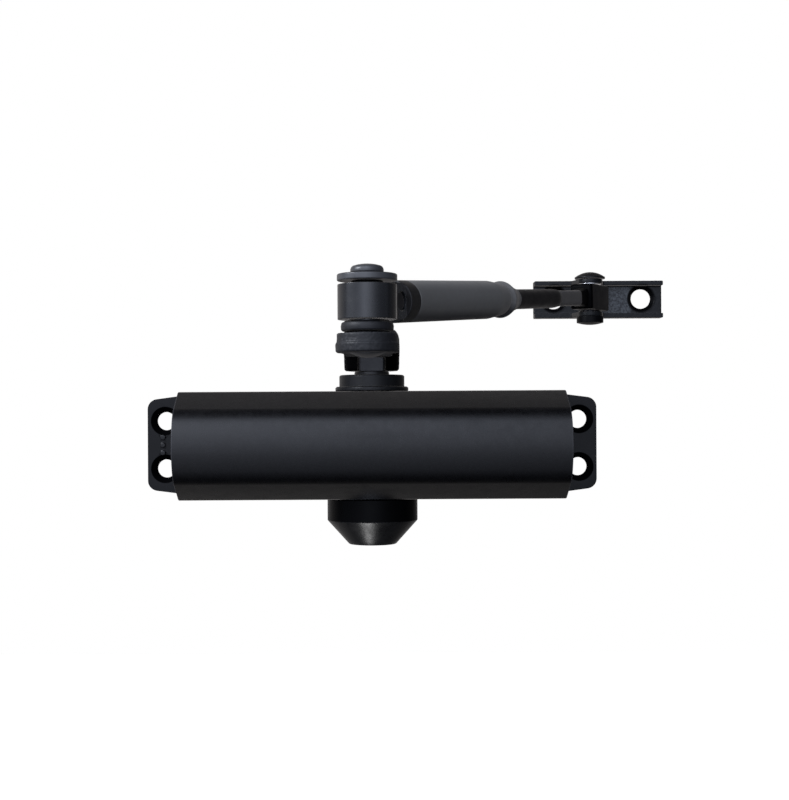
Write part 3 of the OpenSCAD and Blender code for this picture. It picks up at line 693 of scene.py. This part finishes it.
# ---------------------------------------------------------------- studio
def area(name, loc, aim, size, power, colour=(1, 1, 1)):
    """rectangular light at loc that points at aim"""
    d = bpy.data.lights.new(name, "AREA")
    d.shape = "RECTANGLE"
    d.size, d.size_y = size
    d.energy = power
    d.color = colour
    o = bpy.data.objects.new(name, d)
    bpy.context.scene.collection.objects.link(o)
    o.location = loc
    o.rotation_euler = (Vector(aim) - Vector(loc)).to_track_quat("-Z", "Y").to_euler()
    return o


# brightness of the room by angle about X (0 towards the viewer, 90 up) ...
RISE_PROFILE = [(-180, 0.75), (-158, 0.60), (-142, 0.31), (-127, 0.26), (-118, 0.17),
                (-110, 0.03), (-88, 0.02), (-74, 0.08), (-60, 0.20), (-44, 0.33), (-31, 0.44),
                (-18, 0.57), (-6, 0.83), (6, 1.12), (25, 1.46), (44, 1.65), (56, 1.62),
                (64, 1.10), (73, 0.45), (82, 0.06), (102, 0.02), (110, 0.06), (118, 0.22),
                (126, 0.35), (142, 0.44), (158, 0.65), (180, 0.75)]
# ... and by heading (0 towards the viewer, positive to the right)
TURN_PROFILE = [(-180, 0.60), (-135, 0.60), (-102, 0.46), (-80, 0.42), (-61, 0.42), (-44, 0.44),
                (-27, 0.66), (-12, 1.06), (0, 0.95), (8, 0.82), (20, 0.50), (36, 0.22),
                (52, 0.12), (70, 0.09), (90, 0.09), (116, 0.10), (138, 0.15), (156, 0.40),
                (180, 0.60)]


def studio():
    """white to the viewer; to the object, light by elevation and heading, cooler in front"""
    w = bpy.data.worlds.new("studio")
    bpy.context.scene.world = w
    w.use_nodes = True
    t = w.node_tree
    t.nodes.clear()

    def node(kind, **settings):
        n = t.nodes.new(kind)
        for key, value in settings.items():
            setattr(n, key, value)
        return n

    xyz = node("ShaderNodeSeparateXYZ")
    t.links.new(node("ShaderNodeTexCoord").outputs["Generated"], xyz.inputs[0])
    front = node("ShaderNodeMath", operation="MULTIPLY")
    front.inputs[1].default_value = -1
    t.links.new(xyz.outputs[1], front.inputs[0])

    def profile(axis, table):
        a = node("ShaderNodeMath", operation="ARCTAN2")
        t.links.new(xyz.outputs[axis], a.inputs[0])
        t.links.new(front.outputs[0], a.inputs[1])
        k = node("ShaderNodeMath", operation="MULTIPLY_ADD")
        k.inputs[1].default_value = 1 / (2 * math.pi)
        k.inputs[2].default_value = 0.5
        t.links.new(a.outputs[0], k.inputs[0])
        r = node("ShaderNodeValToRGB")
        els = r.color_ramp.elements
        while len(els) < len(table):
            els.new(0.5)
        for e, (deg, v) in zip(els, table):
            e.position = (deg + 180) / 360
            e.color = (v, v, v, 1)
        t.links.new(k.outputs[0], r.inputs[0])
        return r.outputs[0]

    level = node("ShaderNodeMath", operation="MULTIPLY")
    t.links.new(profile(2, RISE_PROFILE), level.inputs[0])
    t.links.new(profile(0, TURN_PROFILE), level.inputs[1])
    tint = node("ShaderNodeMix", data_type="RGBA")
    warm = node("ShaderNodeMapRange", clamp=True)
    warm.inputs[1].default_value = -0.2
    warm.inputs[2].default_value = 0.4
    t.links.new(xyz.outputs[1], warm.inputs[0])
    t.links.new(warm.outputs[0], tint.inputs[0])
    tint.inputs[6].default_value = (0.90, 0.97, 1.16, 1)
    tint.inputs[7].default_value = (1.03, 0.99, 0.99, 1)
    lit = node("ShaderNodeBackground")
    t.links.new(tint.outputs[2], lit.inputs[0])
    t.links.new(level.outputs[0], lit.inputs[1])
    seen = node("ShaderNodeBackground")
    seen.inputs[0].default_value = (1, 1, 1, 1)
    pick = node("ShaderNodeMixShader")
    t.links.new(node("ShaderNodeLightPath").outputs["Is Camera Ray"], pick.inputs[0])
    t.links.new(lit.outputs[0], pick.inputs[1])
    t.links.new(seen.outputs[0], pick.inputs[2])
    t.links.new(pick.outputs[0], node("ShaderNodeOutputWorld").inputs[0])


studio()
# softbox close to the left end of the body, and a strip below that draws the line on the cap
area("left_box", (-0.30, -0.26, 0.22), (-0.09, -0.05, 0.0), (0.16, 0.12), 0.8, (0.93, 0.97, 1.05))
glint = area("under_strip", (-0.046, -0.075, -0.30), (-0.003, -0.02, -0.03), (0.075, 0.10), 0.19)
only_cap = bpy.data.collections.new("only_cap")
only_cap.objects.link(NODES["bottom_cap"])
glint.light_linking.receiver_collection = only_cap


FLOOR_Z = -0.60


def floor_sheet():
    """plain pale floor, well below, seen by the viewer only"""
    bm = bmesh.new()
    bmesh.ops.create_grid(bm, x_segments=24, y_segments=24, size=3.0)
    g = Graph("floor_pale")
    g.shader.inputs["Base Color"].default_value = (0.9, 0.9, 0.9, 1)
    g.shader.inputs["Roughness"].default_value = 0.9
    g.shader.inputs["Emission Color"].default_value = (1, 1, 1, 1)
    g.shader.inputs["Emission Strength"].default_value = 0.9
    o = mesh_object("floor", bm, g.mat)
    o.location.z = FLOOR_Z
    o.visible_glossy = False
    o.visible_diffuse = False
    o.visible_shadow = False


floor_sheet()
view = bpy.context.scene.view_settings
view.view_transform = "Standard"
view.look = "None"
